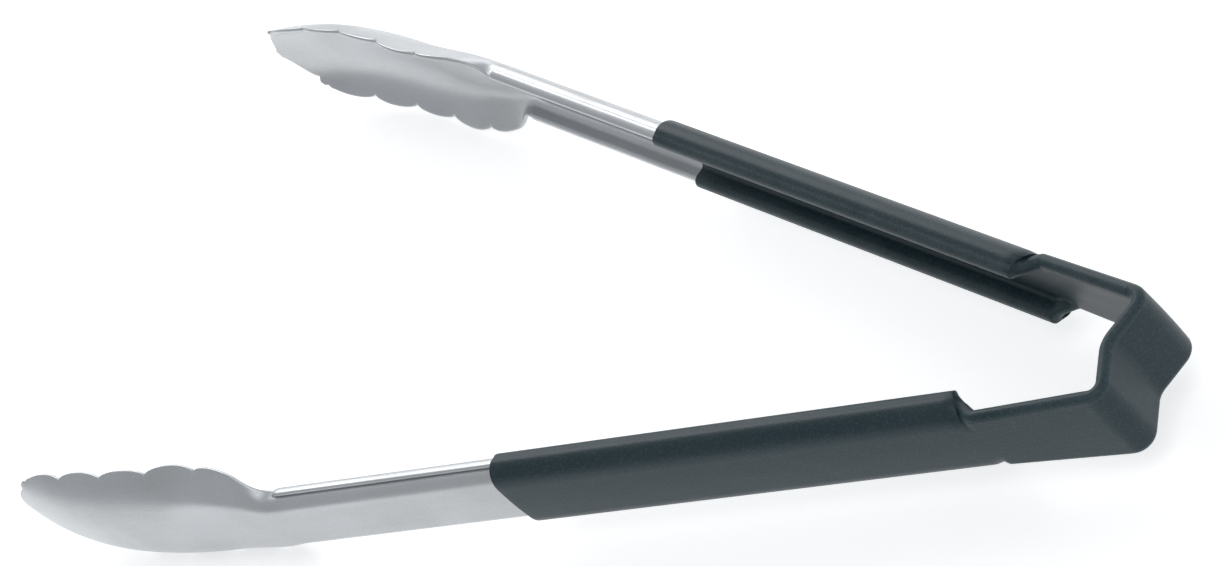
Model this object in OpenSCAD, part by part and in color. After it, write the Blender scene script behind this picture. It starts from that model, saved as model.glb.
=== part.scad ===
// One-piece spring tongs: a pressed steel strip with scalloped jaws and a dipped handle coat.
// They lie on one side: +X runs from the spring end to the jaws, +Y is the left arm, +Z is up.
// "t" is the distance along an arm, "h" the height from its back towards the other arm,
// and "z" the place across the width, from the middle.

/* [Sheet and coat] */
// Thickness of the steel sheet
steel_t = 1.0; // [0.8:0.1:1.2]
// Thickness of the dipped coat
coat_t = 1.0; // [0.6:0.1:1.2]

/* [Spring end] */
// Half of the angle between the arms at rest
open_angle = 13.15; // [10:0.05:16]
// Half of the distance between the backs of the arms at the spring end
back_y = 11.3; // [10:0.1:13]
// Width of the flat steel band
band_w = 19.5; // [18:0.5:20.5]
// How far the band is pushed in at the waist, where its two slopes would meet
waist_x = 5.8; // [4.5:0.1:7]
// Slope of the band from the waist to the corners, in degrees
waist_angle = 19.3; // [12:0.1:24]
// Radius of the bend at the waist, on the band's middle line
waist_r = 6; // [4:0.5:8]
// Radius of the two corner bends, on the band's middle line
corner_r = 2.8; // [2.4:0.1:3.4]
// Distance along the arm to the line where it flexes
flex_t = 12; // [7:0.5:16]
// Gap left at the flex line between the spring end and an arm
flex_gap = 0.9; // [0.8:0.1:1.2]

/* [Arms] */
// Distance along the arm where the folded sides start to rise
side_start = 31; // [26:1:34]
// Distance along the arm where the folded sides are at their full depth
side_full = 39; // [36:1:46]
// Distance along the arm where the coat ends
coat_end = 155; // [120:1:180]
// Distance along the arm where the jaw starts
jaw_start = 222; // [216:1:224]
// Half of the width over the folded sides
side_z = 8.6; // [8:0.1:9]
// Depth of the folded sides, from the back
side_h = 5.6; // [5.2:0.1:7]
// Outer radius of the fold between the back and a side
fold_r = 3; // [2.8:0.1:3]
// Width of the hem along the free edge of a side
hem_h = 2.4; // [1.6:0.1:2.5]
// Size of the bevel along the hem's free side
hem_round = 0.6; // [0.4:0.1:0.8]

/* [Jaws] */
// Largest half width of a jaw
jaw_z = 17.4; // [16:0.1:19]
// Distance along the arm where the jaw is widest
wide_t = 262; // [256:1:266]
// Distance along the arm of the jaw's end corners
corner_t = 305; // [304:0.5:306]
// Distance along the arm of the jaw's tip
tip_t = 316.5; // [314:0.5:320]
// How far the jaw's back curves in at the tip
tip_rise = 17.6; // [14:0.1:20]
// Length of one scallop
scallop = 16; // [14:1:18]
// Depth of the notch between two scallops
notch = 1.7; // [1:0.1:2.2]

/* [Hidden] */
steel_color = [0.74, 0.76, 0.78];
coat_color = [0.18, 0.21, 0.22];
bend_steps = 12;
fold_steps = 3;
ring_step = 2;
rings_per_scallop = 8;
tip_steps = 6;
// How far a hole is cut past the end of the piece it goes through
past = 1;
// Points along the outside and along the inside of half a section, as section_faces joins them
outer_points = 7;
inner_points = 5;
last_point = 2 * (outer_points + inner_points) - 1;
// Half width of the jaw where it starts, where its end corners begin, on those corners and at
// the very tip
root_z = 10.4;
end_z = 13.4;
corner_z = 12.4;
tip_min_z = 1.2;
// Powers of the curves that widen the jaw, narrow it again, round its tip and lift its back
widen_power = 4;
narrow_power = 2.6;
tip_power = 1.5;
tip_round = 0.85;
lift_power = 2.6;
// The channel opens out into the bowl of the jaw between these two places
bowl_start = 220;
bowl_full = 232;
// The back of the jaw swells outwards a little, and curves in from here to the tip
swell = 0.9;
curve_start = 250;
// Steepness of the bowl across its width, up to its last third and at the tip
bowl_k = 0.037;
tip_k = 0.021;
tip_k_start = 285;
// Place of the first notch
notch_start = 227;

// Where the band's slope and the arm meet, on the middle line of the sheet
slope = tan(open_angle);
mid_h = steel_t / 2;
mid_y = back_y - mid_h * cos(open_angle) - slope * mid_h * sin(open_angle);
corner_y = (mid_y + slope * waist_x) / (1 + slope * tan(waist_angle));
corner_x = waist_x - tan(waist_angle) * corner_y;
// Centres of the bends at the corner and at the waist
corner_turn = 90 + waist_angle - open_angle;
inward = 315 + (waist_angle + open_angle) / 2;
corner_reach = corner_r / cos(corner_turn / 2);
bend_x = corner_x + corner_reach * cos(inward);
bend_y = corner_y + corner_reach * sin(inward);
waist_center_x = waist_x - waist_r / cos(waist_angle);

function smooth(x) = let (c = min(max(x, 0), 1)) c * c * (3 - 2 * c);
function mix(a, b, w) = a * (1 - w) + b * w;
function arc(x, y, r, from, to, steps) =
    [for (i = [0:steps]) let (a = mix(from, to, i / steps)) [x + r * cos(a), y + r * sin(a)]];
function flip(line) = [for (i = [len(line) - 1:-1:0]) [line[i][0], -line[i][1]]];
function reversed(line) = [for (i = [len(line) - 1:-1:0]) line[i]];

// Place of a point of the left arm in the plane of both arms
function arm_x(t, h) = t * cos(open_angle) + h * sin(open_angle);
function arm_y(t, h) = back_y + t * sin(open_angle) - h * cos(open_angle);

// One side of the bent band, "out" outside its middle line, from the waist to the left arm
function half_side(out, end_t) = concat(
    arc(waist_center_x, 0, waist_r - out, 0, waist_angle, bend_steps / 2),
    arc(bend_x, bend_y, corner_r + out, 180 + waist_angle, 90 + open_angle, bend_steps),
    [[arm_x(end_t, mid_h - out), arm_y(end_t, mid_h - out)]]);
function band_outline(out, end_t) = concat(
    flip(half_side(out, end_t)), half_side(out, end_t),
    reversed(half_side(-out, end_t)), reversed(flip(half_side(-out, end_t))));

// Outline of the jaw's edge, seen along h
function full_z(t) = t < wide_t
    ? jaw_z - (jaw_z - root_z) * pow((wide_t - t) / (wide_t - jaw_start), widen_power)
    : jaw_z - (jaw_z - end_z) * pow((t - wide_t) / (corner_t - wide_t), narrow_power);
function notch_cut(t) = let (f = (t - notch_start) / scallop, w = 2 * (f - floor(f)) - 1)
    t < notch_start ? 0 : notch * (1 - sqrt(1 - w * w));
function tip_z(t) = let (u = (t - corner_t) / (tip_t - corner_t))
    max(tip_min_z, corner_z * pow(max(1 - pow(u, tip_power), 0), tip_round));
function edge_z(t) = t > corner_t ? tip_z(t) : full_z(t) - notch_cut(t);

// Height of the jaw's back along its middle, and steepness of the bowl across it
function back_h(t) = t > curve_start
    ? tip_rise * pow((t - curve_start) / (tip_t - curve_start), lift_power) - swell
    : -swell * smooth((t - bowl_start) / (curve_start - bowl_start));
function bowl_rise(t) =
    mix(bowl_k, tip_k, min(max((t - tip_k_start) / (corner_t - tip_k_start), 0), 1));

// Half sections: points along the outside from the middle, then back along the inside.
// "grow" moves the surface out on all sides, and "hem" is the thickness of the folded edge.
function flat_half(grow) = let (w = band_w / 2 + grow) concat(
    [for (k = [1:outer_points]) [w * k / outer_points, -grow]],
    [for (k = [inner_points:-1:1]) [w * k / inner_points, steel_t + grow]]);
function fold(r, a) = [side_z - fold_r + r * sin(a), fold_r - r * cos(a)];
function channel_half(grow, hem) = concat(
    [for (k = [0:fold_steps]) fold(fold_r + grow, 90 * k / fold_steps)],
    [[side_z + grow + hem, side_h - hem_h],
     [side_z + grow + hem, side_h + grow - hem_round],
     [side_z + grow + hem - hem_round, side_h + grow],
     [side_z - steel_t - grow, side_h + grow]],
    [for (k = [fold_steps:-1:0]) fold(fold_r - steel_t - grow, 90 * k / fold_steps)]);
function bowl_half(t) = let (k = bowl_rise(t), h0 = back_h(t), w = edge_z(t)) concat(
    [for (i = [1:outer_points]) let (z = w * i / outer_points) [z, h0 + k * z * z]],
    [for (i = [inner_points:-1:1]) let (z = w * i / inner_points, a = atan(2 * k * z))
        [z - steel_t * sin(a), h0 + k * z * z + steel_t * cos(a)]]);
function arm_half(t, grow) = let (side = smooth((t - side_start) / (side_full - side_start)))
    mix(flat_half(grow), channel_half(grow, steel_t), side);
function jaw_half(t) = let (open = smooth((t - bowl_start) / (bowl_full - bowl_start)))
    mix(channel_half(0, 0), bowl_half(t), open);
function whole(half) = concat(half, [for (i = [len(half) - 1:-1:0]) [-half[i][0], half[i][1]]]);

// Triangles between the outside and the inside of a section, which close the end of a solid
half_faces = [[0, 1, 10], [0, 10, 11], [1, 2, 9], [1, 9, 10], [2, 3, 8], [2, 8, 9],
              [3, 4, 7], [3, 7, 8], [4, 5, 7], [5, 6, 7]];
middle_faces = [[last_point, 0, 11], [last_point, 11, 12]];
section_faces = concat(half_faces, middle_faces,
    [for (f = half_faces) [last_point - f[0], last_point - f[2], last_point - f[1]]]);

// Points of closed sections, each of them across one place along the arm, and the walls
// that join them
function set_out(places, sections) =
    [for (s = [0:len(places) - 1]) for (p = sections[s]) [places[s], -p[1], p[0]]];
function walls(n, last) = [for (s = [0:last - 1]) for (i = [0:n - 1])
    let (a = s * n + i, b = s * n + (i + 1) % n) each [[a, b + n, b], [a, a + n, b + n]]];
function turned(faces, shift) = [for (f = faces) [for (i = [2:-1:0]) f[i] + shift]];

// A solid through closed sections
module loft(places, sections) {
    n = len(sections[0]);
    last = len(places) - 1;
    faces = concat(walls(n, last), section_faces, turned(section_faces, last * n));
    polyhedron(set_out(places, sections), faces, convexity = 6);
}

// A sleeve between two lofts, open at both ends
module sleeve(places, outside, inside) {
    n = len(outside[0]);
    last = len(places) - 1;
    inner = n * (last + 1);
    rim = [for (i = [0:n - 1]) let (j = (i + 1) % n)
        each [[i, j, inner + j], [i, inner + j, inner + i]]];
    faces = concat(walls(n, last), turned(walls(n, last), inner), rim, turned(rim, last * n));
    polyhedron(concat(set_out(places, outside), set_out(places, inside)), faces, convexity = 8);
}

side_places = [for (t = [side_start:ring_step:side_full]) t];
arm_places = concat([flex_t + flex_gap / 2], side_places, [bowl_start - ring_step, jaw_start]);
coat_places = concat([flex_t + flex_gap / 2], side_places, [coat_end]);
scallop_step = scallop / rings_per_scallop;
scallop_rings = floor((corner_t - notch_start) / scallop_step);
jaw_places = concat(
    [jaw_start], [for (t = [jaw_start + ring_step / 2:ring_step:notch_start]) t],
    [for (k = [1:scallop_rings]) notch_start + k * scallop_step],
    [for (k = [1:tip_steps]) mix(corner_t, tip_t, sin(90 * k / tip_steps))]);
jaw_sections = [for (t = jaw_places) whole(jaw_half(t))];

// The lowest point is at z = 0, and the middle of the length is at x = 0
mid_z = max([for (s = jaw_sections) for (p = s) p[0]]);
front_x = max([for (i = [0:len(jaw_places) - 1])
    for (p = jaw_sections[i]) arm_x(jaw_places[i], p[1])]);
rear_x = min([for (p = half_side(mid_h + coat_t, flex_t)) p[0]]);
middle_x = (front_x + rear_x) / 2;

module at_spring_end() {
    translate([-middle_x, 0, mid_z]) children();
}

module at_left_arm() {
    at_spring_end() translate([0, back_y, 0]) rotate([0, 0, open_angle]) children();
}

// Bent band of one even thickness
module bent_band(out, width, end_t) {
    translate([0, 0, -width / 2]) linear_extrude(width) polygon(band_outline(out, end_t));
}

module spring_bow() {
    color(steel_color) at_spring_end() bent_band(mid_h, band_w, flex_t - flex_gap / 2);
}

module bow_cover() {
    color(coat_color) at_spring_end() difference() {
        bent_band(mid_h + coat_t, band_w + 2 * coat_t, flex_t - flex_gap / 2);
        bent_band(mid_h, band_w, flex_t - flex_gap / 2 + past);
    }
}

module arm() {
    loft(arm_places, [for (t = arm_places) whole(arm_half(t, 0))]);
}

module grip() {
    sleeve(coat_places, [for (t = coat_places) whole(arm_half(t, coat_t))],
           [for (t = coat_places) whole(arm_half(t, 0))]);
}

module jaw() {
    loft(jaw_places, jaw_sections);
}

module arm_left() {
    color(steel_color) at_left_arm() arm();
}

module arm_right() {
    mirror([0, 1, 0]) arm_left();
}

module grip_left() {
    color(coat_color) at_left_arm() grip();
}

module grip_right() {
    mirror([0, 1, 0]) grip_left();
}

module jaw_left() {
    color(steel_color) at_left_arm() jaw();
}

module jaw_right() {
    mirror([0, 1, 0]) jaw_left();
}

spring_bow();
bow_cover();
arm_left();
arm_right();
grip_left();
grip_right();
jaw_left();
jaw_right();
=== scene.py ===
"""One-piece spring tongs: a pressed steel strip with scalloped jaws and a dipped handle coat.

The tongs lie on one side. Along an arm, t is the distance from the spring end, h the height
from the arm's back towards the other arm, and z the place across the width, from the middle.
Every piece is a closed loop around the sheet or its coat, carried along the strip.
"""

import bpy
import numpy as np
from bpy.props import FloatProperty, FloatVectorProperty, PointerProperty
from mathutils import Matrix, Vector


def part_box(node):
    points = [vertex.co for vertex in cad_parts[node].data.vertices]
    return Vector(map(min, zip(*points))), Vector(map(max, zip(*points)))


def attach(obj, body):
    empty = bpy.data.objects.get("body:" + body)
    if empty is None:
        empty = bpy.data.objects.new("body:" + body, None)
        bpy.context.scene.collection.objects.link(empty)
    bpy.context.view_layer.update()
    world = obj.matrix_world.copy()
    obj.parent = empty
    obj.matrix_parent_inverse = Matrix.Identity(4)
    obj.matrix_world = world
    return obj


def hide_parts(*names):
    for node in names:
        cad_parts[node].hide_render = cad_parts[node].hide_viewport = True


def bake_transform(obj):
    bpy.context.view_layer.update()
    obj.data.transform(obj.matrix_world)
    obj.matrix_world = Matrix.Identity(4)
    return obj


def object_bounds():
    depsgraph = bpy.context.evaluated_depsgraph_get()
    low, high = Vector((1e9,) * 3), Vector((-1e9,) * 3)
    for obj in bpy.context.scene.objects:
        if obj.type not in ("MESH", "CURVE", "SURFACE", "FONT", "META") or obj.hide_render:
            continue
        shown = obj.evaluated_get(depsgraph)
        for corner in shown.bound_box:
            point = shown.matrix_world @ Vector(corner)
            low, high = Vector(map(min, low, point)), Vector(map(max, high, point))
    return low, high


bl_info = {
    "name": "Spring tongs",
    "version": (1, 0, 0),
    "blender": (4, 5, 0),
    "location": "3D View > Sidebar > Tongs",
    "description": "One-piece spring tongs with scalloped jaws and a dipped handle coat",
    "category": "Object",
}

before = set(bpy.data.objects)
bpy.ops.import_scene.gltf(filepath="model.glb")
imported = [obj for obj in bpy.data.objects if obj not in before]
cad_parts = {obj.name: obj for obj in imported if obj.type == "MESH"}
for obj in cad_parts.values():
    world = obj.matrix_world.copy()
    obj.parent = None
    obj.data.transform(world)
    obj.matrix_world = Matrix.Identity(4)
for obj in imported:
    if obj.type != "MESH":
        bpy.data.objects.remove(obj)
CAD_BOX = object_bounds()
MM = 0.001
SIDES = {"left": 1, "right": -1}


def length(name, description, value):
    """A size in metres, given here in millimetres."""
    return FloatProperty(name=name, description=description, default=value * MM, min=0.0,
                         unit="LENGTH", subtype="DISTANCE", precision=5)


def colour(name, description, value):
    """A colour, as linear red, green and blue."""
    return FloatVectorProperty(name=name, description=description, default=value, size=3,
                               min=0.0, max=1.0, subtype="COLOR")


def degrees(name, description, value):
    """An angle, given here in degrees."""
    return FloatProperty(name=name, description=description, default=float(np.radians(value)),
                         unit="ROTATION", subtype="ANGLE")


def number(name, description, value):
    """A plain number, such as a power or a slope."""
    return FloatProperty(name=name, description=description, default=value)


def position(name, description, value):
    """A place in metres."""
    return FloatVectorProperty(name=name, description=description, default=value, size=3,
                               unit="LENGTH", subtype="TRANSLATION", precision=5)


class TongsStrip(bpy.types.PropertyGroup):
    """Sizes of the steel strip and its coat."""
    steel_t: length("Sheet", "Thickness of the steel sheet", 1.0)
    coat_t: length("Coat", "Thickness of the dipped coat", 1.0)
    open_angle: degrees("Opening", "Half of the angle between the arms at rest", 13.15)
    back_y: length("Back", "Half of the distance between the arms' backs at the spring end", 11.3)
    band_w: length("Band", "Width of the flat band at the spring end", 18.7)
    neck_w: length("Neck", "Width of the flat band where the folded sides start", 15.9)
    waist_x: length("Waist", "How far the band is pushed in at the waist", 5.8)
    waist_angle: degrees("Waist slope", "Slope of the band from waist to corner", 19.3)
    waist_r: length("Waist radius", "Radius of the waist on the band's middle line", 6.0)
    corner_r: length("Corner radius", "Radius of a corner on the band's middle line", 2.8)
    seam_t: length("Seam", "Place of the joint between spring end and arm pieces", 6.0)
    flex_start: length("Flex start", "Where an arm starts to follow its own body", 6.5)
    flex_end: length("Flex end", "Where an arm follows its own body fully", 24.0)
    side_start: length("Side start", "Where the folded sides start to rise", 32.0)
    side_full: length("Side full", "Where the folded sides reach their full depth", 36.5)
    coat_end: length("Coat end", "Where the coat ends", 155.0)
    coat_lip: length("Coat lip", "Radius of the coat's end", 0.3)
    coat_gap: length("Coat gap", "Space between the coat and the sheet", 0.05)
    jaw_seam: length("Jaw seam", "Where the jaw piece takes over from the arm piece", 205.0)
    side_z: length("Side", "Half of the width over the folded sides", 8.6)
    side_h: length("Side depth", "Depth of the folded sides, from the back", 5.6)
    fold_r: length("Fold radius", "Outer radius of the fold between back and side", 3.0)
    crown: length("Crown", "How far the back bulges out along its middle", 0.18)


class TongsJaw(bpy.types.PropertyGroup):
    """Sizes of the scalloped jaws."""
    start: length("Start", "Where the hem ends and the jaw begins", 222.0)
    hem_round: length("Hem end", "Radius of the hem's rounded end", 2.0)
    entry: length("Entry", "Length over which the channel turns into the bowl", 12.0)
    spread_t: length("Spread start", "Where the bowl's bend starts to spread", 236.0)
    spread: length("Spread", "Length over which the bowl's bend spreads", 40.0)
    root_z: length("Root", "Half width at the jaw's start", 10.4)
    jaw_z: length("Widest", "Largest half width", 17.4)
    wide_t: length("Widest place", "Where the jaw is widest", 262.0)
    end_z: length("End width", "Half width at the end corners", 13.4)
    corner_t: length("End corners", "Where the end corners begin", 305.0)
    tip_t: length("Tip", "Place of the tip", 316.5)
    tip_rise: length("Tip rise", "How far the back curves in at the tip", 13.4)
    lift: length("Lift", "How far the back rises in from the arm's line in the bowl", 2.3)
    curve_t: length("Curve start", "Where the back starts to curve in", 250.0)
    scallop: length("Scallop", "Length of one scallop", 16.0)
    notch_t: length("First scallop", "Where the first scallop begins", 227.0)
    notch: length("Notch", "Depth of the notch between two scallops", 1.7)
    tip_notch_t: length("Tip notch", "Place of the small notch beside the tip", 309.5)
    tip_notch: length("Tip notch depth", "Depth of the small notch beside the tip", 0.9)
    corner_drop: length("Corner drop", "Width lost between end corner and tip notch", 2.6)
    tip_drop: length("Tip drop", "Further width lost past the tip notch", 1.3)
    tip_flat: length("Tip flat", "Least half width at the tip", 1.2)
    steep: number("Bowl", "Steepness of the bowl, per metre", 26.0)
    tip_steep: number("Tip bowl", "Steepness of the bowl at the tip, per metre", 30.0)


class TongsLooks(bpy.types.PropertyGroup):
    """Colours and gloss of the finishes, and colours of the stage."""
    steel: colour("Steel", "Colour of the bare steel", (0.52, 0.535, 0.55))
    steel_dull: colour("Dull steel", "Colour of the steel's duller patches", (0.42, 0.425, 0.43))
    coat: colour("Coat", "Colour of the coat", (0.010, 0.026, 0.033))
    # The coat's paler colour: for its random speckle and runs, and for the painted highlight along
    # its rims and end lip.
    coat_speckle_and_sheen: colour("Sheened coat", "Colour of the coat where it is rubbed", (0.046, 0.070, 0.080))
    steel_rough: number("Steel roughness", "How satin the steel is", 0.36)
    coat_rough: number("Coat roughness", "How matt the coat is", 0.40)
    coat_shine: number("Coat shine", "Strength of the coat's reflections", 0.27)
    floor: colour("Floor", "Colour of the floor", (0.92, 0.92, 0.92))
    world: colour("Surroundings", "Colour of the soft light all around", (0.93, 0.965, 1.0))


class TongsStage(bpy.types.PropertyGroup):
    """Camera, floor and lights."""
    lens: number("Lens", "Focal length in millimetres", 108.6)
    camera_place: position("Camera place", "Where the camera stands", (-0.58878, 0.26638, 0.52167))
    camera_turn: FloatVectorProperty(name="Camera turn", description="How the camera is turned",
                                     default=np.radians((40.855, 35.640, -149.143)), size=3,
                                     unit="ROTATION", subtype="EULER")
    clip_end: length("Camera reach", "Farthest distance that the camera sees", 20000.0)
    floor_size: length("Floor", "Width of the floor", 6000.0)
    floor_gap: length("Floor gap", "How far the floor lies under the lowest point", 0.2)
    floor_glow: number("Floor glow", "Light that the floor itself gives", 0.42)
    key_power: number("Key light", "Power in watts", 4.0)
    key_size: length("Key light width", "Width of the light above", 1000.0)
    key_place: position("Key light place", "Where the light above stands", (-0.5, 0.3, 1.5))
    side_power: number("Side light", "Power in watts", 7.5)
    side_size: length("Side light width", "Width of the light beside the right arm", 950.0)
    side_place: position("Side light place", "Where the side light stands", (1.07, -0.80, 0.88))
    low_power: number("Low light", "Power in watts", 3.5)
    low_size: length("Low light width", "Width of the low light", 900.0)
    low_place: position("Low light place", "Where the low light stands", (0.45, -1.5, 0.45))
    surroundings: number("Surroundings", "Strength of the soft light", 0.6)


def strip():
    return bpy.context.scene.tongs_strip


def jaw():
    return bpy.context.scene.tongs_jaw


def looks():
    return bpy.context.scene.tongs_looks


def stage():
    return bpy.context.scene.tongs_stage


# ---------------------------------------------------------------- curves and sections

FINE = 240            # samples of a whole half section before it is trimmed
NEAR_SHARE = 1e-3     # small step across a section, for its direction
NEAR_T = 0.2 * MM     # small step along the arm, for its direction
OUTSIDE = 27          # points of half a section along its outside
ROUND = 9             # points around the sheet's edge
LEAD = 5              # points between the outside and the edge
HEM_SHARE = 0.814     # share of the half section that lies below the hem
EDGE_SHARE = 0.945    # share up to where the edge's rounding starts
CROWN_SHARE = 0.995   # share just below the free edge, which gives the edge its direction
INSIDE_SHARE = 0.92   # share where the inside starts, past the hem's bend
COAT_INSIDE = 0.80    # the same inside the coat
SQUARE = 0.7          # power that squares off the sheet's plain edge
COAT_STEP = 0.45, 0.84   # shares between which the coat widens to bridge the hem
COAT_TAPER = 4.0      # how fast it narrows again past them, along with the hem's slope
FLAT_SHARE = 0.27     # share of the flat middle of a bowl's section near the channel
BEND_SHARE = 0.30     # share of the bend beside it
BEND_ANGLE = 0.92, 1.05   # full angle of the bend in radians, near the channel and at the tip
RISE_POWER = 4        # how late the jaw's outline reaches its greatest width
FALL_POWER = 2.6      # how late it narrows again towards the end corners
LIFT_POWER = 2.6      # how late the back curves in towards the tip
SIDE_POWER = 1.4      # how soon the folded sides leave their fillet
TIP_POWERS = 1.6, 0.75    # shape of the tip's outline: fullness, and bluntness
# Outline of the rolled hem from its raw end, over its crown, to the inside of the side: the
# distance outwards and the distance back from the free edge, in sheet thicknesses
HEM_OUTLINE = np.array([
    [0.02, -2.05], [0.10, -2.34], [0.36, -2.46], [0.68, -2.44], [0.92, -2.28], [1.00, -2.02],
    [0.96, -1.60], [0.80, -1.05], [0.62, -0.50], [0.42, -0.16], [0.10, 0.0], [-0.35, -0.04],
    [-0.75, -0.26], [-1.0, -0.70]])


def smooth(x):
    c = np.clip(x, 0.0, 1.0)
    return c * c * (3 - 2 * c)


def mix(a, b, w):
    return a * (1 - w) + b * w


def flat_curve(q, t, s):
    """Half of the flat band's outside: z grows evenly, and h bulges out along the middle. The
    band narrows evenly from the spring end to where the sides start."""
    way = np.clip((t - s.seam_t) / (s.side_start - s.seam_t), 0, 1)
    return q * mix(s.band_w, s.neck_w, way) / 2, -s.crown * (1 - q * q)


def channel_curve(q, s):
    """Half of the channel's outside: a crowned back, a quarter circle and a straight side."""
    back, r = s.side_z - s.fold_r, s.fold_r
    arc = r * np.pi / 2
    place = q * (back + arc + s.side_h - r)
    turn = np.clip((place - back) / r, 0, np.pi / 2)
    z = np.minimum(place, back) + r * np.sin(turn)
    bulge = -s.crown * (1 - np.minimum(place / back, 1) ** 2)
    h = bulge + r * (1 - np.cos(turn)) + np.maximum(place - back - arc, 0)
    return z, h


def full_z(t, j):
    """Half width of the jaw without its notches: power curves on both sides of the widest."""
    rise = np.clip((j.wide_t - t) / (j.wide_t - j.start), 0, None) ** RISE_POWER
    fall = np.clip((t - j.wide_t) / (j.corner_t - j.wide_t), 0, 1) ** FALL_POWER
    return j.jaw_z - (j.jaw_z - j.root_z) * rise - (j.jaw_z - j.end_z) * fall


def back_h(t, j):
    """Height of the jaw's back: it rises a little, then curves in as a power of the way."""
    lift = j.lift * smooth((t - j.start) / (j.curve_t - j.start))
    way = np.clip((t - j.curve_t) / (j.tip_t - j.curve_t), 0, None)
    return j.tip_rise * way ** LIFT_POWER + lift


def bowl_curve(q, t, j):
    """Half of the bowl's outside. The slope grows from 0 to its full angle over a bend that
    starts off the middle near the channel and spreads over the whole width towards the tip.
    The curve is scaled so that its edge lies on the jaw's outline."""
    spread = smooth((t - j.spread_t) / j.spread)
    flat_share, bend_share = mix(FLAT_SHARE, 0.0, spread), mix(BEND_SHARE, 1.0, spread)
    angle = mix(*BEND_ANGLE, spread) * smooth((q - flat_share) / bend_share)
    step = q[:, 1:] - q[:, :-1]
    middle = (angle[:, 1:] + angle[:, :-1]) / 2
    start = np.zeros((len(t), 1))
    z = np.hstack([start, np.cumsum(step * np.cos(middle), axis=1)])
    h = np.hstack([start, np.cumsum(step * np.sin(middle), axis=1)])
    w = full_z(t, j)
    toward_tip = smooth((t - j.wide_t) / (j.corner_t - j.wide_t))
    steep = mix(j.steep, j.tip_steep, toward_tip)
    return z * w / z[:, -1:], back_h(t, j) + h * steep * w * w / h[:, -1:]


def kept_share(t, s, j):
    """How much of the half section is left of each ring: all of it on the arms and up to the
    first lobe's peak, less at the notches, whose lobes are half ellipses, and along the two
    lobes of the tip's outline."""
    w = full_z(t, j)
    along = (t - j.notch_t) / j.scallop
    wave = 2 * (along - np.floor(along)) - 1
    first_peak = j.notch_t + j.scallop / 2
    ellipse = np.sqrt(np.clip(1 - wave * wave, 0, 1))
    cut = np.where(t < first_peak, 0, j.notch * (1 - ellipse))
    past_corner = np.clip((t - j.corner_t) / (j.tip_notch_t - j.corner_t), 0, None)
    outer = w - cut - j.corner_drop * past_corner ** 2
    way = np.clip((t - j.tip_notch_t) / (j.tip_t - j.tip_notch_t), 0, 1)
    fullness, bluntness = TIP_POWERS
    start = w - j.corner_drop - j.tip_drop - j.tip_notch
    centre = start * (1 - way ** fullness) ** bluntness
    z = np.where(t > j.tip_notch_t, np.maximum(centre, j.tip_flat), outer)
    return z / w


def side_weight(t, s):
    """The sides rise out of a small fillet, then run straight up to a corner."""
    x = np.clip((t - s.side_start) / (s.side_full - s.side_start), 0, 1)
    return x ** SIDE_POWER


def hem_weight(t, s, j):
    """Presence of the hem: it grows where the sides do, and its end is a quarter circle."""
    grow = smooth((t - s.side_start) / (s.side_full - s.side_start))
    end = np.clip((t - j.start + j.hem_round) / j.hem_round, 0, 1)
    return grow * np.sqrt(1 - end * end)


def outside_curve(t, s, j):
    """Fine points along the outside of half of each section, as (ring, point, t-h-z)."""
    t = np.asarray(t, float)[:, None]
    q = np.broadcast_to(np.linspace(0, 1, FINE), (len(t), FINE))
    side, bowl = side_weight(t, s), smooth((t - j.start + j.hem_round) / j.entry)
    curves = flat_curve(q, t, s), channel_curve(q, s), bowl_curve(q, t, j)
    z, h = (mix(mix(a, b, side), c, bowl) for a, b, c in zip(*curves))
    return np.stack([np.broadcast_to(t, z.shape), h, z], axis=2)


def sample(curve, share):
    """Points of each fine curve at the given shares of it, between its own points."""
    place = np.clip(share, 0, 1) * (FINE - 1)
    low = np.minimum(place.astype(int), FINE - 2)
    part = (place - low)[..., None]
    a = np.take_along_axis(curve, low[..., None], axis=1)
    b = np.take_along_axis(curve, low[..., None] + 1, axis=1)
    return mix(a, b, part)


def unit(v):
    return v / np.linalg.norm(v, axis=-1, keepdims=True)


def surface(t, shares, s, j):
    """Points on the outside of half of each ring at shares of its kept width, and the unit
    normals there that point into the sheet: the cross product of the two directions."""
    curve = outside_curve(t, s, j)
    share = np.asarray(shares)[None, :] * np.where(t > j.start, kept_share(t, s, j), 1.0)[:, None]
    points = sample(curve, share)
    across = sample(curve, share + NEAR_SHARE) - sample(curve, share - NEAR_SHARE)
    ahead = sample(outside_curve(t + NEAR_T, s, j), share)
    behind = sample(outside_curve(t - NEAR_T, s, j), share)
    return points, unit(np.cross(across, ahead - behind))


def edge_directions(points):
    """Unit directions that point out of the sheet across its free edge."""
    return unit(points[:, -1] - points[:, -2])


def whole(half):
    """A closed loop from a half loop that starts and ends in the middle."""
    other = half[:, -2:0:-1] * np.array([1.0, 1.0, -1.0])
    return np.concatenate([half, other], axis=1)


def bevelled(turn):
    """Cosine and sine of the turn around an edge, squared off a little by a power."""
    c, w = np.cos(turn), np.sin(turn)
    return np.sign(c) * np.abs(c) ** SQUARE, np.abs(w) ** SQUARE


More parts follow.
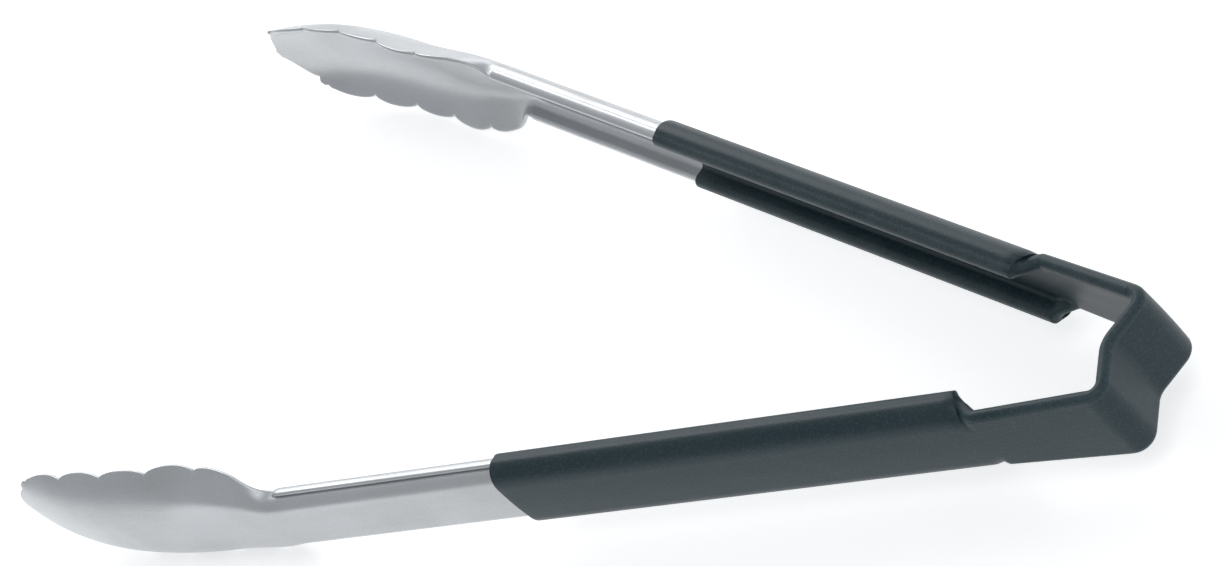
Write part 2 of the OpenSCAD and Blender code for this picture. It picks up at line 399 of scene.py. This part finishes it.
def steel_loop(t, s, j):
    """Closed loop around the sheet at each t: the outside, the edge with its outward hem,
    whose raw end leaves a fine groove, and the inside one thickness away."""
    shares = np.concatenate([np.linspace(0, HEM_SHARE, OUTSIDE),
                             np.linspace(HEM_SHARE, EDGE_SHARE, LEAD + 1)[1:]])
    points, normals = surface(t, np.append(shares, [CROWN_SHARE, 1.0]), s, j)
    tip, into, out = points[:, -1], normals[:, -1], edge_directions(points)
    outside, lead = points[:, :OUTSIDE], points[:, OUTSIDE:-2]
    r = s.steel_t / 2
    turn = np.linspace(0, np.pi, ROUND)
    c, w = (v[None, :, None] for v in bevelled(turn))
    round_edge = (tip - out * r + into * r)[:, None] - into[:, None] * r * c + out[:, None] * r * w
    plain = np.concatenate([lead, round_edge], axis=1)
    layers = HEM_OUTLINE[None, :, :, None] * s.steel_t
    hem = tip[:, None] - into[:, None] * layers[:, :, 0] + out[:, None] * layers[:, :, 1]
    edge = mix(plain, hem, hem_weight(t, s, j)[:, None, None])
    back = np.linspace(INSIDE_SHARE, 0, OUTSIDE)
    inner, normals = surface(t, back, s, j)
    inner = inner + normals * s.steel_t
    return whole(np.concatenate([outside, edge, inner], axis=1))


def coat_loop(t, grow, s, j):
    """Closed loop around the coat at each t, which bridges the hem's step and rounds over the
    free edge. grow is the coat's thickness at each t."""
    shares = np.append(np.linspace(0, EDGE_SHARE, OUTSIDE + LEAD), [CROWN_SHARE, 1.0])
    points, normals = surface(t, shares, s, j)
    tip, into, out = points[:, -1], normals[:, -1], edge_directions(points)
    grow = grow[:, None, None]
    hem = hem_weight(t, s, j)[:, None, None] * s.steel_t
    step = smooth((shares[:-2] - COAT_STEP[0]) / (COAT_STEP[1] - COAT_STEP[0]))
    step = (step * (1 - COAT_TAPER * np.clip(shares[:-2] - COAT_STEP[1], 0, None)))[None, :, None]
    outside = points[:, :-2] - normals[:, :-2] * (grow + hem * step)
    hem = hem * (1 - COAT_TAPER * (EDGE_SHARE - COAT_STEP[1]))
    half = (s.steel_t + hem) / 2 + grow
    centre = tip[:, None] + into[:, None] * (s.steel_t - hem) / 2
    turn = np.linspace(0, np.pi, ROUND)
    c, w = (v[None, :, None] for v in (np.cos(turn), np.sin(turn)))
    round_edge = centre + out[:, None] * (grow - half + half * w) - into[:, None] * half * c
    back = np.linspace(COAT_INSIDE, 0, OUTSIDE)
    inner, normals = surface(t, back, s, j)
    inner = inner + normals * (s.steel_t + grow)
    return whole(np.concatenate([outside, round_edge, inner], axis=1))


# ---------------------------------------------------------------- paths and places

def origin(s):
    """Where the arms' own origin lies in the row frame: the coat's rearmost point is the CAD
    box's, and the middle of the width is half of the whole height."""
    rear = spring_path(s, FINE_STEPS)[0]
    reach = rear[:, 0].min() - s.coat_t
    return np.array([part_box("bow_cover")[0].x - reach, 0.0, CAD_BOX[1][2] / 2])


def arm_point(t, h, side, s):
    """A place along an arm in the plane of both arms."""
    a = s.open_angle
    x = t * np.cos(a) + h * np.sin(a)
    y = s.back_y + t * np.sin(a) - h * np.cos(a)
    return np.stack([x, side * y], axis=-1)


def spring_path(s, steps):
    """The back of the bent band from the left seam to the right one, with its inward normals:
    a straight, the corner's arc, the straight slope, the waist's arc, and the mirror of it."""
    a, slope = s.open_angle, np.tan(s.open_angle)
    mid = s.steel_t / 2
    mid_y = s.back_y - mid * np.cos(a) - slope * mid * np.sin(a)
    corner_y = (mid_y + slope * s.waist_x) / (1 + slope * np.tan(s.waist_angle))
    corner_x = s.waist_x - np.tan(s.waist_angle) * corner_y
    turn = np.pi / 2 + s.waist_angle - a
    inward = np.radians(315) + (s.waist_angle + a) / 2
    reach = s.corner_r / np.cos(turn / 2)
    bend = np.array([corner_x, corner_y]) + reach * np.array([np.cos(inward), np.sin(inward)])
    waist = np.array([s.waist_x - s.waist_r / np.cos(s.waist_angle), 0.0])

    def arc(centre, r, start, end, outwards):
        angle = np.linspace(start, end, steps)
        way = np.stack([np.cos(angle), np.sin(angle)], axis=1)
        return centre + (r + outwards * mid) * way, -outwards * way

    # Along the straight arm, the first ring lies on the seam
    straight_t = np.linspace(s.seam_t, bend_end(s, bend), 4)[:-1]
    straight = arm_point(straight_t, 0.0, 1, s)
    into = np.broadcast_to([np.sin(a), -np.cos(a)], straight.shape)
    corner, corner_n = arc(bend, s.corner_r, np.pi / 2 + a, np.pi + s.waist_angle, 1)
    dip, dip_n = arc(waist, s.waist_r, s.waist_angle, 0.0, -1)
    links = np.linspace(corner[-1], dip[0], 6)[1:-1]
    links_n = np.broadcast_to(corner_n[-1], links.shape)
    points = np.concatenate([straight, corner, links, dip])
    normals = np.concatenate([into, corner_n, links_n, dip_n])
    flip = np.array([1.0, -1.0])
    return (np.concatenate([points, points[-2::-1] * flip]),
            np.concatenate([normals, normals[-2::-1] * flip]))


def bend_end(s, bend):
    """Distance along the arm where the corner's bend meets the straight arm."""
    a = s.open_angle
    return bend[0] * np.cos(a) + (bend[1] - s.back_y) * np.sin(a)


def placed(rings, side, s):
    """Rings in an arm's own t, h and z, as points of the row frame."""
    plane = arm_point(rings[..., 0], rings[..., 1], side, s)
    points = np.concatenate([plane, rings[..., 2:3]], axis=-1)
    return points + origin(s)


def around_spring(loop, steps, s):
    """One loop carried along the spring end's path, as points of the row frame."""
    path, into = spring_path(s, steps)
    plane = path[:, None] + into[:, None] * loop[None, :, 1:2]
    z = np.broadcast_to(loop[None, :, 2:3], plane[..., :1].shape)
    return np.concatenate([plane, z], axis=-1) + origin(s)


def path_length(path):
    """Distance along a path at each of its points, from its first one."""
    return np.append(0, np.cumsum(np.linalg.norm(np.diff(path, axis=0), axis=1)))


# ---------------------------------------------------------------- meshes

def wall_faces(rings, points, start=0):
    """Quads between neighbouring rings of a closed loop."""
    first = np.arange(rings - 1)[:, None] * points
    here = np.arange(points)[None, :]
    there = (here + 1) % points
    quads = np.stack([first + here, first + there, first + points + there, first + points + here])
    return quads.reshape(4, -1).T + start


def volume(points, quads):
    """Signed volume under the quads, positive where they face outwards."""
    a, b, c, d = (points[quads[:, k]] for k in range(4))
    return (np.einsum("ij,ij->i", a, np.cross(b, c)).sum()
            + np.einsum("ij,ij->i", a, np.cross(c, d)).sum())


SHARP = np.radians(50)    # an edge that turns further than this is shaded as sharp
GIRTH = 52 * MM           # length once around the sheet, for patterns that follow it


def new_piece(name, points, faces, place, sheened):
    """A mesh object from points and faces, with its place along the strip and its rims as
    attributes for the finishes. On the steel the rims are only a little less rough; on the coat
    they carry a painted highlight."""
    mesh = bpy.data.meshes.new(name)
    mesh.from_pydata(points.tolist(), [], faces)
    mesh.validate()
    mesh.update()
    mesh.shade_smooth()
    mesh.set_sharp_from_angle(angle=float(SHARP))
    along = mesh.attributes.new("strip_place", "FLOAT_VECTOR", "POINT")
    along.data.foreach_set("vector", place.astype(np.float32).ravel())
    rim_mask = mesh.attributes.new("sheened", "FLOAT", "POINT")
    rim_mask.data.foreach_set("value", sheened.astype(np.float32).ravel())
    piece = bpy.data.objects.new(name, mesh)
    bpy.context.scene.collection.objects.link(piece)
    return piece


def strip_place(along, loop_points):
    """For each point of each ring: the distance along the strip, and the place around the
    loop in metres from the middle of the outside."""
    around = np.linspace(0, GIRTH, loop_points, endpoint=False)
    grid = np.zeros((len(along), loop_points, 3))
    grid[..., 0] = along[:, None]
    grid[..., 1] = around[None, :]
    return grid.reshape(-1, 3)


def edge_mask(rings, points, first, last):
    """1 on the points of a loop from first to last of each half, and 0 elsewhere."""
    index = np.arange(points)
    index = np.minimum(index, points - index)
    mask = np.where((index >= first) & (index <= last), 1.0, 0.0)
    return np.tile(mask, rings)


def solid(name, rings, along):
    """A closed solid through rings, with a flat face at each end."""
    count, around = rings.shape[:2]
    points = rings.reshape(-1, 3)
    quads = wall_faces(count, around)
    start, end = np.arange(around)[::-1], np.arange(around) + (count - 1) * around
    if volume(points, quads) < 0:
        quads, start, end = quads[:, ::-1], start[::-1], end[::-1]
    faces = quads.tolist() + [start.tolist(), end.tolist()]
    sheened = edge_mask(count, around, OUTSIDE + LEAD, OUTSIDE + LEAD + ROUND - 1)
    return new_piece(name, points, faces, strip_place(along, around), sheened)


def sleeve(name, outside, inside, along, end_sheen=0.0):
    """A closed sleeve between two sets of rings, with a rim at each end. The last argument says how
    strongly the last rim carries the coat's painted highlight."""
    count, around = outside.shape[:2]
    total = count * around
    points = np.concatenate([outside.reshape(-1, 3), inside.reshape(-1, 3)])
    outer, inner = wall_faces(count, around), wall_faces(count, around, total)[:, ::-1]
    here = np.arange(around)
    there = (here + 1) % around
    end = (count - 1) * around
    first = np.stack([there, here, here + total, there + total], axis=1)
    last = np.stack([here, there, there + total, here + total], axis=1) + end
    quads = np.concatenate([outer, inner, first, last])
    if volume(points, quads) < 0:
        quads = quads[:, ::-1]
    # The coat's rims, and its end lip below, are marked for the painted highlight.
    sheened = edge_mask(count, around, OUTSIDE + LEAD - 1, OUTSIDE + LEAD + ROUND - 1)
    sheened[-2 * around:] = end_sheen
    place = strip_place(along, around)
    return new_piece(name, points, quads.tolist(), np.concatenate([place, place]),
                     np.concatenate([sheened, sheened * 0]))


def finished(piece, material):
    piece.data.materials.append(material)
    return piece


# ---------------------------------------------------------------- finishes

class Value:
    """One socket of a shader, so that shader maths reads as plain Python."""

    def __init__(self, tree, socket):
        self.tree, self.socket = tree, socket

    def maths(self, operation, first, second):
        node = self.tree.nodes.new("ShaderNodeMath")
        node.operation = operation
        for socket, item in zip(node.inputs, (first, second)):
            if isinstance(item, Value):
                self.tree.links.new(item.socket, socket)
            else:
                socket.default_value = item
        return Value(self.tree, node.outputs[0])

    def __add__(self, other):
        return self.maths("ADD", self, other)

    def __sub__(self, other):
        return self.maths("SUBTRACT", self, other)

    def __rsub__(self, other):
        return self.maths("SUBTRACT", other, self)

    def __mul__(self, other):
        return self.maths("MULTIPLY", self, other)

    __radd__ = __add__
    __rmul__ = __mul__


class Finish:
    """A material in the making: node() adds a node with its settings and its inputs."""

    def __init__(self, name):
        self.material = bpy.data.materials.new(name)
        self.material.use_nodes = True
        self.tree = self.material.node_tree
        self.tree.nodes.clear()

    def node(self, kind, settings=None, output=0, **inputs):
        node = self.tree.nodes.new("ShaderNode" + kind)
        for key, value in (settings or {}).items():
            setattr(node, key, value)
        for key, value in inputs.items():
            socket = node.inputs[int(key[1:]) if key[1:].isdigit() else key.replace("_", " ")]
            if isinstance(value, Value):
                self.tree.links.new(value.socket, socket)
            else:
                socket.default_value = value
        return Value(self.tree, node.outputs[output])

    def attribute(self, name, output):
        return self.node("Attribute", {"attribute_name": name}, output)

    def scaled(self, vector, size):
        return self.node("VectorMath", {"operation": "MULTIPLY"}, i0=vector, i1=size)

    def noise(self, vector, scale, detail=2.0, roughness=0.5):
        return self.node("TexNoise", Vector=vector, Scale=scale, Detail=detail,
                         Roughness=roughness)

    def stepped(self, value, low, high):
        """0 below low, 1 above high, and a smooth rise between them."""
        return self.node("MapRange", {"interpolation_type": "SMOOTHSTEP"}, Value=value,
                         From_Min=low, From_Max=high)

    def blended(self, factor, first, second):
        settings = {"data_type": "RGBA"}
        return self.node("Mix", settings, 2, Factor=factor, i6=(*first, 1), i7=(*second, 1))

    def bump(self, height, strength, distance, normal=None):
        inputs = {"Height": height, "Strength": strength, "Distance": distance}
        if normal is not None:
            inputs["Normal"] = normal
        return self.node("Bump", **inputs)

    def shaded(self, **inputs):
        """The surface's shader, and the material it makes."""
        surface = self.node("BsdfPrincipled", **inputs)
        output = self.tree.nodes.new("ShaderNodeOutputMaterial")
        self.tree.links.new(surface.socket, output.inputs["Surface"])
        return self.material


def steel_finish(name):
    """Satin rolled steel: fine streaks along the strip, a fine matt grain, duller patches, and
    edges a little brighter where they were sheared."""
    f, c = Finish(name), looks()
    place = f.attribute("strip_place", 1)
    spot = f.node("TexCoord", output=3)
    streaks = f.noise(f.scaled(place, (60, 2600, 1)), 1.0, 3.0)
    grain = f.noise(spot, 2600.0, 2.0)
    patches = f.stepped(f.noise(spot, 34.0, 3.0), 0.38, 0.70)
    cloud = f.noise(f.scaled(place, (16, 160, 1)), 1.0, 4.0)
    rim_mask = f.attribute("sheened", 2)
    base = f.blended(patches * 0.45 + f.stepped(cloud, 0.40, 0.75) * 0.25
                     + f.stepped(grain, 0.45, 0.70) * 0.35,
                     tuple(c.steel), tuple(c.steel_dull))
    rough = (patches * 0.07 + (streaks - 0.5) * 0.16 + (grain - 0.5) * 0.10 - rim_mask * 0.06
             + c.steel_rough)
    fine = f.bump(grain, 0.18, 0.00006)
    normal = f.bump(streaks, 0.16, 0.00004, fine)
    return f.shaded(Base_Color=base, Metallic=1.0, Roughness=rough, Normal=normal)


def coat_finish(name):
    """Dipped vinyl: a slightly uneven skin with a fine speckle, and a painted highlight that makes
    it lighter in patches along its edges."""
    f, c = Finish(name), looks()
    spot = f.node("TexCoord", output=3)
    place = f.attribute("strip_place", 1)
    speckle = f.noise(spot, 1900.0, 2.0, 0.6)
    waves = f.noise(spot, 95.0, 2.0)
    runs = f.noise(f.scaled(place, (30, 260, 1)), 1.0, 3.0)
    rim_mask = f.attribute("sheened", 2)
    # Painted highlight: lighter patches of colour along the coat's rims and end lip, which also
    # make them a little rougher.
    painted_rim_sheen = rim_mask * f.stepped(waves + speckle * 0.4, 0.35, 0.95)
    base = f.blended(painted_rim_sheen * 0.45 + f.stepped(speckle, 0.48, 0.72) * 0.40
                     + f.stepped(runs, 0.45, 0.80) * 0.16,
                     tuple(c.coat), tuple(c.coat_speckle_and_sheen))
    rough = (speckle - 0.5) * 0.16 + (runs - 0.5) * 0.14 + painted_rim_sheen * 0.05 + c.coat_rough
    skin = f.bump(speckle, 0.34, 0.00015)
    normal = f.bump(waves, 0.25, 0.0004, skin)
    return f.shaded(Base_Color=base, Roughness=rough, Specular_IOR_Level=c.coat_shine,
                    Normal=normal)


def finish_of(name, maker):
    return bpy.data.materials.get(name) or maker(name)


def steel():
    return finish_of("satin_steel", steel_finish)


def vinyl():
    return finish_of("dipped_vinyl", coat_finish)


# ---------------------------------------------------------------- pieces

CORNER_STEPS = 20     # places around each corner and around the waist
FINE_STEPS = 200      # the same where the rearmost point is looked for
FLAT_RINGS = 36       # rings along the flat band of an arm
RISE_RINGS = 24       # rings while the sides rise
ARM_RINGS = 83        # rings along the rest of an arm
COAT_RINGS = 59       # rings along the rest of a handle's coat
LIP_RINGS = 6         # rings around the coat's lip
BARE_RINGS = 17       # rings of a jaw piece before the hem's end
HEM_RINGS = 12        # rings along the hem's rounded end
LOBE_RINGS = 40       # rings of one scallop
CORNER_RINGS = 13     # rings from the end corners to the tip notch
TIP_RINGS = 26        # rings from the tip notch to the tip
NEAREST = 0.1 * MM    # least distance of a scallop's rings from the stretches beside them


def spring_along(steps, s):
    """Distance along the whole strip at each ring of the spring end, from the left seam on
    towards the right arm as smaller and then negative numbers."""
    return s.seam_t - path_length(spring_path(s, steps)[0])


def arm_along(t, side, s):
    """Distance along the whole strip, so that patterns run on from piece to piece."""
    if side > 0:
        return t
    return s.seam_t + spring_along(CORNER_STEPS, s)[-1] - t


def seam_ring(loop, s):
    """A loop function's ring where the spring end meets the arms."""
    return loop(np.array([s.seam_t]))[0]


def across_flex(piece, side, s):
    """Bakes the piece's place into its points. The ends of a bend from the spring end's body to the
    arm's are worked out, but nothing bends the piece.
    """
    ends = np.array([[s.flex_start, s.steel_t / 2, 0], [s.flex_end, s.steel_t / 2, 0]])
    start, end = placed(ends, SIDES[side], s)
    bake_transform(piece)


class TONGS_OT_spring_strip(bpy.types.Operator):
    """Bent steel band of the spring end, inside its coat"""
    bl_idname = "tongs.spring_strip"
    bl_label = "Spring strip"

    def execute(self, context):
        s, j = strip(), jaw()
        ring = seam_ring(lambda t: steel_loop(t, s, j), s)
        rings = around_spring(ring, CORNER_STEPS, s)
        piece = solid("spring_strip", rings, spring_along(CORNER_STEPS, s))
        finished(piece, steel())
        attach(piece, "spring_end")
        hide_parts("spring_bow")
        return {"FINISHED"}


class TONGS_OT_spring_coat(bpy.types.Operator):
    """Dipped coat over the spring end"""
    bl_idname = "tongs.spring_coat"
    bl_label = "Spring coat"

    def execute(self, context):
        s, j = strip(), jaw()
        outside = seam_ring(lambda t: coat_loop(t, t * 0 + s.coat_t, s, j), s)
        inside = seam_ring(lambda t: coat_loop(t, t * 0 + s.coat_gap, s, j), s)
        along = spring_along(CORNER_STEPS, s)
        piece = sleeve("spring_coat", around_spring(outside, CORNER_STEPS, s),
                       around_spring(inside, CORNER_STEPS, s), along)
        finished(piece, vinyl())
        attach(piece, "spring_end")
        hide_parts("bow_cover")
        return {"FINISHED"}


def side_places(s):
    """Places along the arm from the seam to where the sides are full."""
    flat = np.linspace(s.seam_t, s.side_start, FLAT_RINGS)
    rise = np.linspace(s.side_start, s.side_full, RISE_RINGS + 1)[1:]
    return np.concatenate([flat, rise])


class TONGS_OT_arm_strips(bpy.types.Operator):
    """Hemmed steel channels of the two arms"""
    bl_idname = "tongs.arm_strips"
    bl_label = "Arm strips"

    def execute(self, context):
        s, j = strip(), jaw()
        rest = np.linspace(s.side_full, s.jaw_seam, ARM_RINGS + 1)[1:]
        t = np.concatenate([side_places(s), rest])
        for side, sign in SIDES.items():
            rings = placed(steel_loop(t, s, j), sign, s)
            piece = solid(side + "_arm_strip", rings, arm_along(t, sign, s))
            finished(piece, steel())
            across_flex(piece, side, s)
            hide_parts("arm_" + side)
        return {"FINISHED"}


class TONGS_OT_handle_coats(bpy.types.Operator):
    """Dipped coats over the two arms, with a rounded lip at the end"""
    bl_idname = "tongs.handle_coats"
    bl_label = "Handle coats"

    def execute(self, context):
        s, j = strip(), jaw()
        lip = s.coat_lip
        rest = np.linspace(s.side_full, s.coat_end - lip, COAT_RINGS + 1)[1:]
        turn = np.linspace(0, np.pi / 2, LIP_RINGS + 1)[1:]
        t = np.concatenate([side_places(s), rest, s.coat_end - lip + lip * np.sin(turn)])
        way = np.clip((t - s.coat_end + lip) / lip, 0, 1)
        grow = s.coat_t - lip * (1 - np.sqrt(1 - way * way))
        for side, sign in SIDES.items():
            outside = placed(coat_loop(t, grow, s, j), sign, s)
            inside = placed(coat_loop(t, t * 0 + s.coat_gap, s, j), sign, s)
            piece = sleeve(side + "_handle_coat", outside, inside, arm_along(t, sign, s), 1.0)
            finished(piece, vinyl())
            across_flex(piece, side, s)
            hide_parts("grip_" + side)
        return {"FINISHED"}


def jaw_places(s, j):
    """Rings of a jaw: close together at the hem's end, in step with the notches, and closer
    towards the tip."""
    turn = np.linspace(0, np.pi / 2, HEM_RINGS)
    hem_end = j.start - j.hem_round + j.hem_round * np.sin(turn)
    step = j.scallop / LOBE_RINGS
    count = int(round((j.corner_t - j.start - 2 * NEAREST) / step))
    lobes = j.notch_t + step * (np.arange(count + 1) - round((j.notch_t - j.start) / step) + 1)
    lobes = lobes[(lobes > j.start + NEAREST) & (lobes < j.corner_t - NEAREST)]
    corner = np.linspace(j.corner_t, j.tip_notch_t, CORNER_RINGS)
    first = j.tip_notch_t + NEAREST / 2
    tip = first + (j.tip_t - first) * np.sin(np.linspace(0, np.pi / 2, TIP_RINGS))
    straight = np.linspace(s.jaw_seam, j.start - j.hem_round, BARE_RINGS + 1)[:-1]
    return np.concatenate([straight, hem_end, lobes, corner, tip])


class TONGS_OT_jaws(bpy.types.Operator):
    """Scalloped spoon jaws, with the bare end of each arm"""
    bl_idname = "tongs.jaws"
    bl_label = "Jaws"

    def execute(self, context):
        s, j = strip(), jaw()
        t = jaw_places(s, j)
        for side, sign in SIDES.items():
            rings = placed(steel_loop(t, s, j), sign, s)
            piece = solid(side + "_jaw", rings, arm_along(t, sign, s))
            finished(piece, steel())
            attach(piece, side + "_arm")
            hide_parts("jaw_" + side)
        return {"FINISHED"}


# ---------------------------------------------------------------- stage

def floor_finish(name):
    """Pale matt floor with the faintest unevenness."""
    f, c = Finish(name), looks()
    spot = f.node("TexCoord", output=3)
    cloud = f.noise(spot, 3.0)
    base = f.blended(cloud * 0.3, tuple(c.floor), tuple(v * 0.98 for v in c.floor))
    return f.shaded(Base_Color=base, Roughness=0.9, Emission_Color=(1, 1, 1, 1),
                    Emission_Strength=stage().floor_glow)


def area_light(name, power, size, where):
    """A soft square light that looks at the middle of the stage."""
    data = bpy.data.lights.new(name, "AREA")
    data.energy, data.size, data.shape = power, size, "SQUARE"
    light = bpy.data.objects.new(name, data)
    bpy.context.scene.collection.objects.link(light)
    light.location = where
    light.rotation_euler = (-Vector(where)).to_track_quat("-Z", "Y").to_euler()


def add_camera(name):
    """One camera, at its own place and turn."""
    data = bpy.data.cameras.new(name)
    data.lens, data.clip_end = stage().lens, stage().clip_end
    camera = bpy.data.objects.new(name, data)
    bpy.context.scene.collection.objects.link(camera)
    camera.location = stage().camera_place
    camera.rotation_euler = stage().camera_turn
    bpy.context.scene.camera = camera


def add_floor(name):
    """One square face just under the lowest point."""
    size, z = stage().floor_size / 2, -stage().floor_gap
    mesh = bpy.data.meshes.new(name)
    corners = [(-size, -size, z), (size, -size, z), (size, size, z), (-size, size, z)]
    mesh.from_pydata(corners, [], [(0, 1, 2, 3)])
    mesh.materials.append(finish_of("pale_floor", floor_finish))
    floor = bpy.data.objects.new(name, mesh)
    bpy.context.scene.collection.objects.link(floor)


def add_surroundings(name):
    """Even soft light from all around."""
    world = bpy.data.worlds.new(name)
    world.use_nodes = True
    background = world.node_tree.nodes["Background"]
    background.inputs["Color"].default_value = (*looks().world, 1)
    background.inputs["Strength"].default_value = stage().surroundings
    bpy.context.scene.world = world


class TONGS_OT_stage(bpy.types.Operator):
    """Camera, pale floor and soft studio light"""
    bl_idname = "tongs.stage"
    bl_label = "Stage"

    def execute(self, context):
        lights = stage()
        add_camera("camera")
        add_floor("floor")
        area_light("key", lights.key_power, lights.key_size, lights.key_place)
        area_light("side", lights.side_power, lights.side_size, lights.side_place)
        area_light("low", lights.low_power, lights.low_size, lights.low_place)
        add_surroundings("soft_light")
        context.scene.view_settings.view_transform = "Standard"
        return {"FINISHED"}


class TONGS_PT_panel(bpy.types.Panel):
    """Steps that make the tongs"""
    bl_idname = "TONGS_PT_panel"
    bl_label = "Spring tongs"
    bl_space_type = "VIEW_3D"
    bl_region_type = "UI"
    bl_category = "Tongs"

    def draw(self, context):
        for step in STEPS:
            self.layout.operator(step.bl_idname)


STEPS = (TONGS_OT_stage, TONGS_OT_spring_strip, TONGS_OT_spring_coat, TONGS_OT_arm_strips,
         TONGS_OT_handle_coats, TONGS_OT_jaws)
GROUPS = {"tongs_strip": TongsStrip, "tongs_jaw": TongsJaw, "tongs_looks": TongsLooks,
          "tongs_stage": TongsStage}
CLASSES = (*GROUPS.values(), *STEPS, TONGS_PT_panel)


def register():
    for cls in CLASSES:
        bpy.utils.register_class(cls)
    for name, group in GROUPS.items():
        setattr(bpy.types.Scene, name, PointerProperty(type=group))


def unregister():
    for name in GROUPS:
        delattr(bpy.types.Scene, name)
    for cls in reversed(CLASSES):
        bpy.utils.unregister_class(cls)


def main():
    register()
    for step in STEPS:
        group, name = step.bl_idname.split(".")
        getattr(getattr(bpy.ops, group), name)()


if __name__ == "__main__":
    main()
